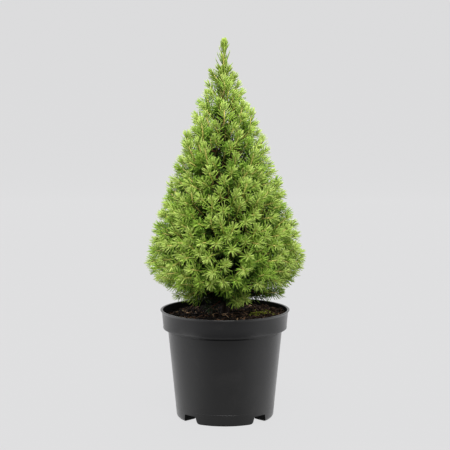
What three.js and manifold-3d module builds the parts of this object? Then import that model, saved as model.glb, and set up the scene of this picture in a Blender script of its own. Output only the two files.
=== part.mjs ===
// A dwarf Alberta spruce in its black nursery pot, at real size.
// Millimetres, +Z up. The origin is on the floor, under the middle of the pot.

import * as THREE from 'three';
import { mergeVertices } from 'three/addons/utils/BufferGeometryUtils.js';
import Module from 'manifold-3d';

const wasm = await Module();
wasm.setup();

const { PI, abs, atan2, cos, exp, hypot, max, min, round, sign, sin, sqrt, tan } = Math;
const radians = THREE.MathUtils.degToRad;
const mix = THREE.MathUtils.lerp;
const point = (x, y, z) => new THREE.Vector3(x, y, z);

// ---- Driving dimensions ---------------------------------------------------------------------

const CLEARANCE = 0.3;        // between pieces that touch

const POT = {
  sides: 40,
  height: 160,
  wall: 1.6,
  lipRadius: 95,              // the rolled lip
  lipDepth: 2.6,
  lipRound: 0.8,
  bandTopRadius: 93.2,        // the band under the lip, and the shelf at its foot
  bandBottomRadius: 91,
  bandBottom: 132.5,
  bodyTopRadius: 84.2,        // the tapering body
  bodyBottomRadius: 71.7,
  footRound: 1.6,
  footInnerRadius: 60,        // the hollow ring of feet round a raised base
  baseRise: 9,
  notches: 4,                 // arches that part the ring into feet
  notchTurn: 45,
  notchTopWidth: 24,
  notchFloorWidth: 30,
  drainRadius: 3,             // a drain hole in the roof of each notch
  drainSides: 8,
};

const SOIL = {
  wallHeight: 147.5,          // where it meets the pot
  mound: 151,                 // under the trunk
  flatRadius: 14,
  lumps: 1.1,
};

const TRUNK = {
  foot: SOIL.mound + CLEARANCE,
  tip: 496,
  footRadius: 4.8,
  tipRadius: 1.2,
  flare: 3.4,                 // extra radius of the root flare, and how fast it dies away
  flareHeight: 6,
  flareLobes: 3,
  flareDepth: 0.22,
  lean: -1,                   // how far the top stands to one side
  sway: 1.4,
  sides: 9,
  steps: 14,
};

const CROWN = { bottom: 157, widest: 242, top: 557, radius: 117, power: 1.15 };

// Each tier of boughs lies between two edges, given by their height on the outline of the crown.
// Its masses stand round the trunk, each with the same number of shoots.
const TIERS = [
  { name: 'skirt', low: 159, high: 187, masses: 5, shoots: 4 },
  { name: 'low', low: 187, high: 236, masses: 6, shoots: 6 },
  { name: 'wide', low: 236, high: 290, masses: 6, shoots: 6 },
  { name: 'middle', low: 290, high: 346, masses: 5, shoots: 6 },
  { name: 'upper', low: 346, high: 402, masses: 4, shoots: 6 },
  { name: 'high', low: 402, high: 456, masses: 3, shoots: 6 },
  { name: 'top', low: 456, high: 508, masses: 3, shoots: 5 },
];
const BOUGH_TIERS = 4;        // above these a mass springs from the trunk itself
const TIER_TURN = 137.5;      // each tier is turned on from the one below
const EDGE_RISE = 75;         // slope of the highest tier edge, in degrees
const SIDE_GAP = 0.6;         // between a mass and the sides of its space
const EDGE_GAP = 0.9;         // between a mass and its tier's edges
const TRUNK_GAP = 1.5;        // between needles and the trunk

const LIMB = { footRadius: 2, tipRadius: 1.1, sides: 5, steps: 3 };
const BOUGH = { share: 0.34, sag: 0.1, stagger: 12 };   // share: how far out a bough reaches
const JOINTS = { first: 0.12, trunkFirst: 0.3, last: 0.97, middle: 0.9, count: 9 };
// The dense inside of a mass, as shares of its space
const CORE = { firstTier: 1, lastTier: 5, inner: 0.36, outer: 0.8, across: 0.84, upright: 0.8, square: 0.6 };
const SHOOT = {
  length: 32,
  leafy: 0.72,                // share of its length that carries needles, below the bare tip
  radius: 1.5,
  whorls: 2,                  // rings of three needles
  needle: 16,
  taper: 0.35,
  lowSlope: -15,              // the way a shoot points, at the foot and at the top of the crown
  highSlope: 66,
  stray: 9,
  choices: 10,                // tips tried for each shoot, and their room to the tier's edges
  edgeRoom: 6,
  shortestTwig: 4,
};
const NEEDLE = { outward: 0.82, forward: 0.57, vary: 0.25 };
const LEADER = { whorls: 7, needle: 8, radius: 1.5 };
const BUD = { count: 3, first: 3, apart: 4, out: 8, rise: 17, whorls: 2, needle: 5, radius: 1.4 };

// ---- Shapes ---------------------------------------------------------------------------------

// A closed geometry as a solid that can be joined and cut
function solidOf(geometry) {
  const bare = geometry.clone();
  bare.deleteAttribute('normal');
  bare.deleteAttribute('uv');
  const closed = mergeVertices(bare, 1e-3);
  return new wasm.Manifold(new wasm.Mesh({
    numProp: 3,
    vertProperties: closed.attributes.position.array,
    triVerts: new Uint32Array(closed.index.array),
  }));
}

function geometryOf(solid) {
  const mesh = solid.getMesh();
  const geometry = new THREE.BufferGeometry();
  geometry.setAttribute('position', new THREE.BufferAttribute(mesh.vertProperties, 3));
  geometry.setIndex(new THREE.BufferAttribute(mesh.triVerts, 1));
  geometry.computeVertexNormals();
  return geometry;
}

// The largest body of a solid: loose scraps are dropped and sealed hollows filled
function wholeOf(solid) {
  const bodies = solid.decompose();
  return bodies.reduce((best, body) => (body.volume() > best.volume() ? body : best));
}

function named(name, geometry, material) {
  const mesh = new THREE.Mesh(geometry, material);
  mesh.name = name;
  return mesh;
}

// A shape turned about the Z axis, from (radius, height) pairs that start and end on it
function turned(profile, sides) {
  const outline = profile.map(([radius, height]) => new THREE.Vector2(radius, height));
  return new THREE.LatheGeometry(outline, sides).rotateX(PI / 2);
}

// Two directions across a path that runs along the given one
function acrossOf(direction, reference) {
  const side = reference.clone().cross(direction).normalize();
  return [side, direction.clone().cross(side)];
}

function steadyReference(direction) {
  return abs(direction.z) > 0.8 * direction.length() ? point(1, 0, 0) : point(0, 0, 1);
}

// A limb that follows a path, with a radius that changes along it and round it
function limbGeometry(centreAt, radiusAt, sides, steps) {
  const geometry = new THREE.CylinderGeometry(1, 1, 1, sides, steps);
  const places = geometry.attributes.position;
  const reference = steadyReference(centreAt(1).clone().sub(centreAt(0)));
  for (let i = 0; i < places.count; i++) {
    const along = min(1, max(0, places.getY(i) + 0.5));
    const ahead = centreAt(min(1, along + 0.01)).clone();
    const direction = ahead.sub(centreAt(max(0, along - 0.01))).normalize();
    const [side, front] = acrossOf(direction, reference);
    const out = hypot(places.getX(i), places.getZ(i));
    const angle = atan2(places.getX(i), places.getZ(i));
    const radius = out * radiusAt(along, angle);
    const place = centreAt(along).clone();
    place.addScaledVector(side, radius * cos(angle)).addScaledVector(front, radius * sin(angle));
    places.setXYZ(i, place.x, place.y, place.z);
  }
  return geometry;
}

// ---- The pot --------------------------------------------------------------------------------

function potOutside() {
  const p = POT;
  return turned([
    [0, p.baseRise],
    [p.footInnerRadius - 1, p.baseRise],
    [p.footInnerRadius, 0],
    [p.bodyBottomRadius - p.footRound, 0],
    [p.bodyBottomRadius, p.footRound],
    [p.bodyTopRadius, p.bandBottom],
    [p.bandBottomRadius - p.lipRound, p.bandBottom],
    [p.bandBottomRadius, p.bandBottom + p.lipRound],
    [p.bandTopRadius, p.height - p.lipDepth],
    [p.lipRadius - p.lipRound, p.height - p.lipDepth],
    [p.lipRadius, p.height - p.lipDepth + p.lipRound],
    [p.lipRadius, p.height - p.lipRound],
    [p.lipRadius - p.lipRound, p.height],
    [0, p.height],
  ], p.sides);
}

function potInside() {
  const p = POT;
  return turned([
    [0, p.baseRise + p.wall],
    [p.footInnerRadius - 1 + p.wall, p.baseRise + p.wall],
    [p.footInnerRadius + p.wall, p.wall],
    [p.bodyBottomRadius - p.footRound, p.wall],
    [p.bodyBottomRadius - p.wall, p.wall + p.footRound],
    [p.bodyTopRadius - p.wall, p.bandBottom + p.wall],
    [p.bandBottomRadius - p.wall, p.bandBottom + p.wall],
    [p.bandTopRadius - p.wall, p.height - p.lipRound],
    [p.bandTopRadius - p.wall + p.lipRound, p.height + 1],
    [0, p.height + 1],
  ], p.sides);
}

// The block that makes one notch, grown by a wall's thickness where it shapes the inside
function notchBlock(index, growth) {
  const floorHalf = POT.notchFloorWidth / 2 + growth;
  const topHalf = POT.notchTopWidth / 2 + growth;
  const below = -2;
  const outline = new THREE.Shape([
    new THREE.Vector2(-floorHalf, below),
    new THREE.Vector2(floorHalf, below),
    new THREE.Vector2(topHalf, POT.baseRise + growth),
    new THREE.Vector2(-topHalf, POT.baseRise + growth),
  ]);
  const inner = POT.footInnerRadius - 6;
  const outer = POT.bodyBottomRadius + 6;
  const block = new THREE.ExtrudeGeometry(outline, { depth: outer - inner, bevelEnabled: false });
  block.translate(0, 0, inner).rotateX(PI / 2).rotateZ(PI);
  return solidOf(block.rotateZ(notchAngle(index) + PI / 2 - PI));
}

function notchAngle(index) {
  return radians(POT.notchTurn) + (index * 2 * PI) / POT.notches;
}

function drainHole(index) {
  const place = (POT.footInnerRadius + POT.bodyBottomRadius) / 2;
  const hole = new THREE.CylinderGeometry(POT.drainRadius, POT.drainRadius, 6, POT.drainSides);
  hole.rotateX(PI / 2).translate(place, 0, POT.baseRise + POT.wall / 2);
  return solidOf(hole.rotateZ(notchAngle(index)));
}

function potGeometry() {
  let outside = solidOf(potOutside());
  let inside = solidOf(potInside());
  for (let i = 0; i < POT.notches; i++) {
    outside = outside.subtract(notchBlock(i, 0)).subtract(drainHole(i));
    inside = inside.subtract(notchBlock(i, POT.wall));
  }
  return geometryOf(wholeOf(outside.subtract(inside)));
}

// ---- The soil -------------------------------------------------------------------------------

function bodyInnerRadius(height) {
  const up = (height - POT.footRound - POT.wall) / (POT.bandBottom - POT.footRound);
  return mix(POT.bodyBottomRadius, POT.bodyTopRadius, up) - POT.wall;
}

function bandInnerRadius(height) {
  const foot = POT.bandBottom + POT.wall;
  const up = (height - foot) / (POT.height - POT.lipRound - foot);
  return mix(POT.bandBottomRadius, POT.bandTopRadius, up) - POT.wall;
}

// Uneven waves, about three centimetres from lump to lump
function soilLump(x, y) {
  const waves = sin(x * 0.19 + 1.3) * cos(y * 0.23) + 0.6 * sin(x * 0.41 - y * 0.37 + 0.7);
  return SOIL.lumps * waves;
}

function soilGeometry() {
  const floor = POT.baseRise + POT.wall + CLEARANCE;
  const shelf = POT.bandBottom + POT.wall + CLEARANCE;
  const wallRadius = bandInnerRadius(SOIL.wallHeight) - CLEARANCE;
  const drop = SOIL.mound - SOIL.wallHeight;
  const mound = [0.72, 0.4].map((share) => [wallRadius * share, SOIL.mound - drop * share ** 2]);
  const geometry = turned([
    [0, floor],
    [bodyInnerRadius(floor) - CLEARANCE, floor],
    [bodyInnerRadius(shelf - CLEARANCE) - CLEARANCE, shelf],
    [bandInnerRadius(shelf) - CLEARANCE, shelf],
    [wallRadius, SOIL.wallHeight],
    ...mound,
    [SOIL.flatRadius, SOIL.mound],
    [0, SOIL.mound],
  ], POT.sides);
  const places = geometry.attributes.position;
  for (let i = 0; i < places.count; i++) {
    const [x, y, z] = [places.getX(i), places.getY(i), places.getZ(i)];
    const loose = hypot(x, y) > SOIL.flatRadius + 1 && hypot(x, y) < wallRadius - 1;
    if (loose && z > SOIL.wallHeight - 1) places.setZ(i, z + soilLump(x, y));
  }
  return geometry;
}

// ---- The trunk ------------------------------------------------------------------------------

function trunkCentre(height) {
  const up = (height - TRUNK.foot) / (CROWN.top - TRUNK.foot);
  const x = TRUNK.lean * up + TRUNK.sway * sin(2 * PI * up);
  return point(x, 0.6 * TRUNK.sway * sin(3 * PI * up), height);
}

function trunkRadius(height, angle = 0) {
  const up = (height - TRUNK.foot) / (TRUNK.tip - TRUNK.foot);
  const flare = exp(-(height - TRUNK.foot) / TRUNK.flareHeight);
  const lobe = 1 + TRUNK.flareDepth * flare * cos(TRUNK.flareLobes * angle);
  return (mix(TRUNK.footRadius, TRUNK.tipRadius, up) + TRUNK.flare * flare) * lobe;
}

function trunkGeometry(growth = 0) {
  // the steps are closer together in the flare
  const heightAt = (along) => mix(TRUNK.foot, TRUNK.tip, along ** 1.6);
  const centreAt = (along) => trunkCentre(heightAt(along));
  const radiusAt = (along, angle) => trunkRadius(heightAt(along), angle) + growth;
  return limbGeometry(centreAt, radiusAt, TRUNK.sides, TRUNK.steps);
}

// ---- The spaces that the crown is shared out into -------------------------------------------

function crownRadius(height) {
  if (height > CROWN.widest) {
    const up = (height - CROWN.widest) / (CROWN.top - CROWN.widest);
    return CROWN.radius * (1 - min(1, up) ** CROWN.power);
  }
  const down = (CROWN.widest - height) / (CROWN.widest - CROWN.bottom);
  return CROWN.radius * sqrt(max(0, 1 - down ** 2));
}

// A tier edge is a cone that rises from the trunk to its height on the outline
function edgeSlope(height) {
  const first = TIERS[0].low;
  const last = TIERS[TIERS.length - 1].high;
  return tan(radians((EDGE_RISE * (height - first)) / (last - first)));
}

function edgeHeight(height, out) {
  return height - (crownRadius(height) - out) * edgeSlope(height);
}

function spaceOf(tier, index) {
  const { name, low, high, masses, shoots } = TIERS[tier];
  const azimuth = radians(TIER_TURN * tier) + (2 * PI * index) / masses;
  return { name: `${name}_${index + 1}`, tier, index, low, high, shoots, azimuth, half: PI / masses };
}

function azimuthGap(space, place) {
  const turn = atan2(place.y, place.x) - space.azimuth;
  return abs(atan2(sin(turn), cos(turn)));
}

// Whether a place is inside a mass's own space, clear of its edges and of the trunk
function inSpace(space, place) {
  const out = hypot(place.x, place.y);
  const inside = space.half - azimuthGap(space, place);
  if (inside <= 0 || out * sin(min(inside, PI / 2)) < SIDE_GAP) return false;
  if (place.z < edgeHeight(space.low, out) + EDGE_GAP) return false;
  if (place.z > edgeHeight(space.high, out) - EDGE_GAP) return false;
  return place.distanceTo(trunkCentre(place.z)) > trunkRadius(place.z) + TRUNK_GAP;
}

function lineInSpace(space, from, to, steps = 5) {
  for (let i = 1; i <= steps; i++) {
    if (!inSpace(space, from.clone().lerp(to, i / steps))) return false;
  }
  return true;
}

// ---- How shoots grow ------------------------------------------------------------------------

// Seeded random numbers from 0 to 1, the same on every run
function randomFrom(seed) {
  let state = seed;
  return () => {
    state = (Math.imul(state, 1664525) + 1013904223) >>> 0;
    return state / 2 ** 32;
  };
}

function outlinePlace(azimuth, height) {
  const out = crownRadius(height);
  const lean = trunkCentre(height);
  return point(lean.x + out * cos(azimuth), lean.y + out * sin(azimuth), height);
}

// Shoots droop at the foot of the crown, lie level at its waist and rise towards the top
function shootDirection(azimuth, height, random) {
  const up = (height - CROWN.bottom) / (CROWN.top - CROWN.bottom);
  const slope = mix(SHOOT.lowSlope, SHOOT.highSlope, up) + SHOOT.stray * (2 * random() - 1);
  const turn = azimuth + radians(SHOOT.stray) * (2 * random() - 1);
  const level = cos(radians(slope));
  return point(level * cos(turn), level * sin(turn), sin(radians(slope)));
}

// A tip on the outline, somewhere in a space, with room for its needles inside the edges
function randomTip(space, random) {
  const height = mix(space.low + SHOOT.edgeRoom, space.high - SHOOT.edgeRoom, random());
  const room = max(0.1, space.half - (0.6 * SHOOT.needle) / crownRadius(height));
  const azimuth = space.azimuth + room * (2 * random() - 1);
  return shootTo(azimuth, height, random);
}

function shootTo(azimuth, height, random) {
  const tip = outlinePlace(azimuth, height);
  const direction = shootDirection(azimuth, height, random);
  const length = min(SHOOT.length, 0.75 * crownRadius(height) + 6);
  return { tip, direction, length, heel: tip.clone().addScaledVector(direction, -length) };
}

// Of several seeded tips, the one farthest from those already grown
function nextShoot(space, grown, random) {
  let best = null;
  let bestRoom = -1;
  for (let i = 0; i < SHOOT.choices; i++) {
    const shoot = randomTip(space, random);
    const room = min(...grown.map((other) => other.tip.distanceTo(shoot.tip)));
    if (room > bestRoom) {
      best = shoot;
      bestRoom = room;
    }
  }
  return best;
}

// The joint on the limbs grown so far that a twig reaches with the least length and bending
function bestJoint(limbs, shoot) {
  let best = null;
  let bestCost = Infinity;
  for (const limb of limbs) {
    for (let i = 1; i < limb.length; i++) {
      const run = shoot.heel.clone().sub(limb[i]);
      const distance = run.length();
      if (distance < SHOOT.shortestTwig) continue;
      run.divideScalar(distance);
      const along = run.dot(limb[i].clone().sub(limb[i - 1]).normalize());
      const onward = run.dot(shoot.direction);
      const cost = distance * (3 - along - onward);
      if (cost < bestCost) {
        best = limb[i];
        bestCost = cost;
      }
    }
  }
  return best;
}

function pointsAlong(from, to, steps) {
  return Array.from({ length: steps + 1 }, (_, i) => from.clone().lerp(to, i / steps));
}

// ---- Needles --------------------------------------------------------------------------------

// Three corners round a centre, across the way the shoot runs there
function ringOf(centre, along, reference, radius, turn) {
  const [side, front] = acrossOf(along, reference);
  return [0, 1, 2].map((i) => {
    const angle = turn + (i * 2 * PI) / 3;
    const corner = centre.clone().addScaledVector(side, radius * cos(angle));
    return corner.addScaledVector(front, radius * sin(angle));
  });
}

function needleTip(foot, outward, direction, length) {
  const tip = foot.clone().addScaledVector(outward, NEEDLE.outward * length);
  return tip.addScaledVector(direction, NEEDLE.forward * length);
}

// A shoot on its twig: a slim three-sided core from the joint over the heel to the tip. Its rings are
// turned by half a side each, and a needle stands out of every second face between them. A needle
// that has no room is left out.
function shootGeometry(joint, shoot, style, needleFits, random) {
  const { heel, tip, direction } = shoot;
  const leafy = heel.distanceTo(tip) * SHOOT.leafy;
  const reference = steadyReference(direction);
  const faces = [];
  let turn = 2 * PI * random();
  const twig = heel.clone().sub(joint).normalize();
  let lower = ringOf(joint, twig, reference, style.radius * 0.85, turn);
  faces.push(lower[0], lower[2], lower[1]);
  for (let step = 0; step <= style.whorls; step++) {
    turn += PI / 3;
    const centre = heel.clone().addScaledVector(direction, (leafy * step) / style.whorls);
    const radius = style.radius * (1 - (SHOOT.taper * step) / style.whorls);
    const upper = ringOf(centre, direction, reference, radius, turn);
    for (let i = 0; i < 3; i++) {
      const next = (i + 1) % 3;
      faces.push(upper[i], lower[next], upper[next]);
      const foot = lower[i].clone().add(lower[next]).add(upper[i]).divideScalar(3);
      const length = style.needle * (1 + NEEDLE.vary * (random() - 0.5));
      const outward = upper[i].clone().sub(centre).normalize();
      const sharp = needleTip(foot, outward, direction, length);
      if (step === 0 || !needleFits(foot, sharp)) {
        faces.push(lower[i], lower[next], upper[i]);
      } else {
        faces.push(lower[i], lower[next], sharp, lower[next], upper[i], sharp, upper[i], lower[i], sharp);
      }
    }
    lower = upper;
  }
  for (let i = 0; i < 3; i++) faces.push(lower[i], lower[(i + 1) % 3], tip);
  return new THREE.BufferGeometry().setFromPoints(faces);
}

// ---- Boughs and masses ----------------------------------------------------------------------

// The line from the trunk out to the heel of a mass's middle shoot
function boughPath(space) {
  const out = crownRadius(mix(space.low, space.high, 0.5));
  const stagger = BOUGH.stagger * (((space.index * 0.618) % 1) - 0.5);
  const foot = stagger + 0.5 * (edgeHeight(space.low, 0) + edgeHeight(space.high, 0));
  const height = mix(space.low, space.high, 0.5);
  const middle = shootTo(space.azimuth, height, () => 0.5);
  const root = trunkCentre(foot);
  const knee = root.clone().lerp(middle.heel, 0.5);
  knee.z -= BOUGH.sag * out * (height > CROWN.widest ? 1 : -0.3);
  return { path: new THREE.QuadraticBezierCurve3(root, knee, middle.heel), middle };
}

function boughShare(space) {
  return space.tier < BOUGH_TIERS ? BOUGH.share : 0;
}

function limbRadius(share) {
  return mix(LIMB.footRadius, LIMB.tipRadius, share);
}

function partOfPath(path, from, to) {
  return (along) => path.getPointAt(mix(from, to, along));
}

function boughSolid(space, path, trunkRoom) {
  const share = boughShare(space);
  const radiusAt = (along) => limbRadius(share * along);
  const limb = limbGeometry(partOfPath(path, 0, share), radiusAt, LIMB.sides, LIMB.steps);
  return wholeOf(solidOf(limb).subtract(trunkRoom));
}

// A place in a space: turn from -1 to 1 across it, share from the trunk to the outline, level from
// its low edge to its high one
function placeIn(space, turn, share, level) {
  const [low, high] = [space.low, space.high];
  const out = share * mix(crownRadius(low), crownRadius(high), level);
  const root = mix(edgeHeight(low, 0), edgeHeight(high, 0), level);
  const azimuth = space.azimuth + turn * space.half;
  return point(out * cos(azimuth), out * sin(azimuth), mix(root, mix(low, high, level), share));
}

// The dense inside of a mass: a ball drawn out towards the corners of its space
function coreSolid(space) {
  const geometry = new THREE.SphereGeometry(1, 6, 4);
  const places = geometry.attributes.position;
  const drawn = (value) => sign(value) * min(1, abs(value) ** CORE.square);
  for (let i = 0; i < places.count; i++) {
    const turn = CORE.across * drawn(places.getX(i));
    const level = 0.5 + 0.5 * CORE.upright * drawn(places.getY(i));
    const share = mix(CORE.inner, CORE.outer, 0.5 + 0.5 * drawn(places.getZ(i)));
    places.setXYZ(i, ...placeIn(space, turn, share, level));
  }
  return solidOf(geometry);
}

// A mass: a stem that goes on from its bough or from the trunk, and shoots that branch from it
function massSolid(space, path, middle, trunkRoom) {
  const share = boughShare(space);
  const from = share ? share + CLEARANCE / path.getLength() : 0;
  const random = randomFrom(1000 * space.tier + round(1000 * space.azimuth));
  const stemAt = partOfPath(path, from, 1);
  const stemRadius = (along) => limbRadius(mix(from, 1, along));
  let whole = solidOf(limbGeometry(stemAt, stemRadius, LIMB.sides, LIMB.steps));
  if (space.tier >= CORE.firstTier && space.tier <= CORE.lastTier) whole = whole.add(coreSolid(space));

  const first = share ? JOINTS.first : JOINTS.trunkFirst;
  const jointAt = (_, i) => stemAt(mix(first, JOINTS.last, i / (JOINTS.count - 1)));
  const limbs = [Array.from({ length: JOINTS.count }, jointAt)];
  const fits = (from, to) => lineInSpace(space, from, to);
  const grown = [];
  const grow = (joint, shoot) => {
    whole = whole.add(solidOf(shootGeometry(joint, shoot, SHOOT, fits, random)));
    limbs.push(pointsAlong(joint, shoot.heel, 3));
    grown.push(shoot);
  };
  grow(stemAt(JOINTS.middle), middle);
  for (let tries = 0; grown.length < space.shoots && tries < 4 * space.shoots; tries++) {
    const shoot = nextShoot(space, grown, random);
    const joint = bestJoint(limbs, shoot);
    if (joint && fits(joint, shoot.heel) && fits(shoot.heel, shoot.tip)) grow(joint, shoot);
  }
  return wholeOf(share ? whole : whole.subtract(trunkRoom));
}

// The leader goes on from the tip of the trunk: one long shoot with close needles and small side buds
function leaderSolid() {
  const random = randomFrom(7);
  const shootFrom = (joint, tip, style) => {
    const direction = tip.clone().sub(joint).normalize();
    const shoot = { heel: joint.clone().lerp(tip, 0.15), tip, direction };
    return solidOf(shootGeometry(joint, shoot, style, () => true, random));
  };
  let whole = shootFrom(trunkCentre(TRUNK.tip + CLEARANCE), trunkCentre(CROWN.top), LEADER);
  for (let i = 0; i < BUD.count; i++) {
    const azimuth = ((i + 0.25) * 2 * PI) / BUD.count;
    const joint = trunkCentre(TRUNK.tip + BUD.first + BUD.apart * i);
    const out = point(BUD.out * cos(azimuth), BUD.out * sin(azimuth), BUD.rise);
    whole = whole.add(shootFrom(joint, joint.clone().add(out), BUD));
  }
  return wholeOf(whole);
}

// ---- Materials and assembly -----------------------------------------------------------------

const potPlastic = () => new THREE.MeshStandardMaterial({ color: 0x37393b, roughness: 0.45, metalness: 0 });
const soilEarth = () => new THREE.MeshStandardMaterial({ color: 0x2b2019, roughness: 0.95, metalness: 0 });
const bark = () => new THREE.MeshStandardMaterial({ color: 0x5b4130, roughness: 0.85, metalness: 0 });
const needles = () => new THREE.MeshStandardMaterial({ color: 0x7b9842, roughness: 0.6, metalness: 0 });

function assemble() {
  const plant = new THREE.Group();
  plant.add(named('pot', potGeometry(), potPlastic()));
  plant.add(named('soil', soilGeometry(), soilEarth()));
  plant.add(named('trunk', trunkGeometry(), bark()));
  const trunkRoom = solidOf(trunkGeometry(CLEARANCE));
  for (let tier = 0; tier < TIERS.length; tier++) {
    for (let index = 0; index < TIERS[tier].masses; index++) {
      const space = spaceOf(tier, index);
      const { path, middle } = boughPath(space);
      if (boughShare(space)) {
        plant.add(named(`bough_${space.name}`, geometryOf(boughSolid(space, path, trunkRoom)), bark()));
      }
      const mass = massSolid(space, path, middle, trunkRoom);
      plant.add(named(`needles_${space.name}`, geometryOf(mass), needles()));
    }
  }
  plant.add(named('needles_leader', geometryOf(leaderSolid()), needles()));
  return plant;
}

export default assemble();
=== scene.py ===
# A dwarf Alberta spruce in its black nursery pot: the finish and the fine parts, built round the
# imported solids. Metres, +Z up, the floor at z = 0, the axis of the pot at x = y = 0.
from collections import namedtuple
from math import atan2, cos, exp, floor, hypot, pi, radians, sin, sqrt, tan

import bpy
import numpy as np
from mathutils import Matrix, Vector
from mathutils.bvhtree import BVHTree


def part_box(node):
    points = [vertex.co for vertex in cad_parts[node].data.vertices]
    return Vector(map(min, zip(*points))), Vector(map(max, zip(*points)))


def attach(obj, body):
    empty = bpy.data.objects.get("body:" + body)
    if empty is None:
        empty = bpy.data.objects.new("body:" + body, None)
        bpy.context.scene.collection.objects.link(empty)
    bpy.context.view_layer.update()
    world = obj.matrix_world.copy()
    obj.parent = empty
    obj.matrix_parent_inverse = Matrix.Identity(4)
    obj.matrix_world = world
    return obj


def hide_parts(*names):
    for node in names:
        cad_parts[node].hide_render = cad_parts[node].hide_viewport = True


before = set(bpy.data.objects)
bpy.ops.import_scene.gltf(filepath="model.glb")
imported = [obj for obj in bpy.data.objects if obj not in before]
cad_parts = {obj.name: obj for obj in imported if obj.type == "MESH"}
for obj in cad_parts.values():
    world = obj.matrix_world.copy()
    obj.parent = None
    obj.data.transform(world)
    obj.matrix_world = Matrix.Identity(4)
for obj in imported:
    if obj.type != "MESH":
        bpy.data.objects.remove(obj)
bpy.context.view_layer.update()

# ---- The pot ----
# An injection-moulded nursery pot of charcoal plastic: one thin tapering shell with a stepped band
# and a rolled lip. It stands on a hollow ring that arched notches part into four feet.

POT_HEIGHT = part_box("pot")[1].z
POT_SIDES = 144
WALL = 0.0016
LIP_RADIUS = 0.095
LIP_DEPTH = 0.0026
LIP_ROUND = 0.0008
LIP_FLARE = 0.0014           # the lip flares out from the band in a soft curve
SHADE_GAP = 0.00035          # the plain plastic under the lip, inside, that the painted shade leaves bare
BAND_TOP_RADIUS = 0.0932
BAND_BOTTOM_RADIUS = 0.091
BAND_BOTTOM = 0.1325
BAND_ROUND = 0.0007
BODY_TOP_RADIUS = 0.0842
BODY_BOTTOM_RADIUS = 0.0717
RIDGE, RIDGE_LOW, RIDGE_HIGH = 0.00015, 0.0016, 0.0023    # a fine ridge low on the band
GROOVE_FOOT = BAND_BOTTOM - 0.004
GROOVE = [(0.000843, 0.0032), (0.0009, 0.0012), (0.0004, 0)]    # how deep, and how far under the band
FOOT_ROUND = 0.005
FOOT_INNER_RADIUS = 0.050
FOOT_DRAFT = 0.001           # the inner side of the feet leans in
BASE_RISE = 0.009
NOTCH_RISE = 0.012           # the notches rise past the base's edge
MOULD_LINE = 0.0172          # a fine ledge round the body, just above the feet
MOULD_STEP = 0.0001
NOTCHES = 4
NOTCH_TURN = 45
NOTCH_TOP_WIDTH = 0.0215
NOTCH_FLOOR_WIDTH = 0.026
NOTCH_ROUND = 0.0018
NOTCH_REACH, NOTCH_DROP = 0.006, 0.004    # how far the cut runs past the feet, and below the floor
FLARE_START, FLARE_WIDTH = 0.0032, 0.032    # the corners of the feet are rounded off at the floor
DRAIN_RADIUS, DRAIN_DEPTH, DRAIN_OUT = 0.003, 0.006, 0.0658


def nothing_selected():
    bpy.ops.object.select_all(action="DESELECT")


def only(piece):
    nothing_selected()
    piece.select_set(True)
    bpy.context.view_layer.objects.active = piece


def added(kind, **values):
    """A new primitive, the only thing that is selected"""
    nothing_selected()
    getattr(bpy.ops.mesh, f"primitive_{kind}_add")(**values)
    return bpy.context.object


def edit(on=True):
    """Goes into edit mode, or out of it"""
    bpy.ops.object.mode_set(mode="EDIT" if on else "OBJECT")


def pick(piece, kind, wanted):
    """Selects the corners, edges or faces that pass a test, and no others, in the middle of an edit"""
    bpy.ops.mesh.select_mode(type=kind)
    bpy.ops.mesh.select_all(action="DESELECT")
    edit(False)
    parts = {"VERT": piece.data.vertices, "EDGE": piece.data.edges, "FACE": piece.data.polygons}
    for part in parts[kind]:
        part.select = wanted(part)
    edit()


def ends_of(piece, edge):
    return [piece.data.vertices[i].co for i in edge.vertices]


def extrude(*offset):
    """Extrudes what is selected, and moves it on"""
    bpy.ops.mesh.extrude_region_move()
    bpy.ops.transform.translate(value=offset)


def resize(centre, *growth):
    bpy.ops.transform.resize(value=growth, center_override=centre)


def rounded(radius, height, size, start, end, steps=4):
    """A rounded edge as (radius, height) pairs, from one angle to another: 0 is outwards and 90 up"""
    turns = [radians(start + (end - start) * i / steps) for i in range(steps + 1)]
    return [(radius + size * cos(turn), height + size * sin(turn)) for turn in turns]


def turned(name, profile, sides):
    """A closed body about the Z axis: a filled circle that is extruded from ring to ring"""
    (radius, height), *rest = profile
    body = added("circle", vertices=sides, radius=radius, fill_type="NGON", location=(0, 0, height))
    body.name = body.data.name = name
    edit()
    bpy.ops.mesh.select_all(action="SELECT")
    for next_radius, next_height in rest:
        extrude(0, 0, next_height - height)
        growth = next_radius / radius
        resize((0, 0, next_height), growth, growth, 1)
        radius, height = next_radius, next_height
    bpy.ops.mesh.select_all(action="SELECT")
    bpy.ops.mesh.normals_make_consistent(inside=False)
    edit(False)
    bpy.ops.object.transform_apply()
    return body


def apply_modifiers(piece):
    only(piece)
    for modifier in list(piece.modifiers):
        bpy.ops.object.modifier_apply(modifier=modifier.name)


def cut_by(body, tool):
    """Takes the tool's shape out of the body, and removes the tool"""
    cut = body.modifiers.new("cut", "BOOLEAN")
    cut.operation = "DIFFERENCE"
    cut.solver = "EXACT"
    cut.object = tool
    apply_modifiers(body)
    bpy.data.objects.remove(tool)


def notch_turn(index):
    return radians(NOTCH_TURN) + 2 * pi * index / NOTCHES


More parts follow.
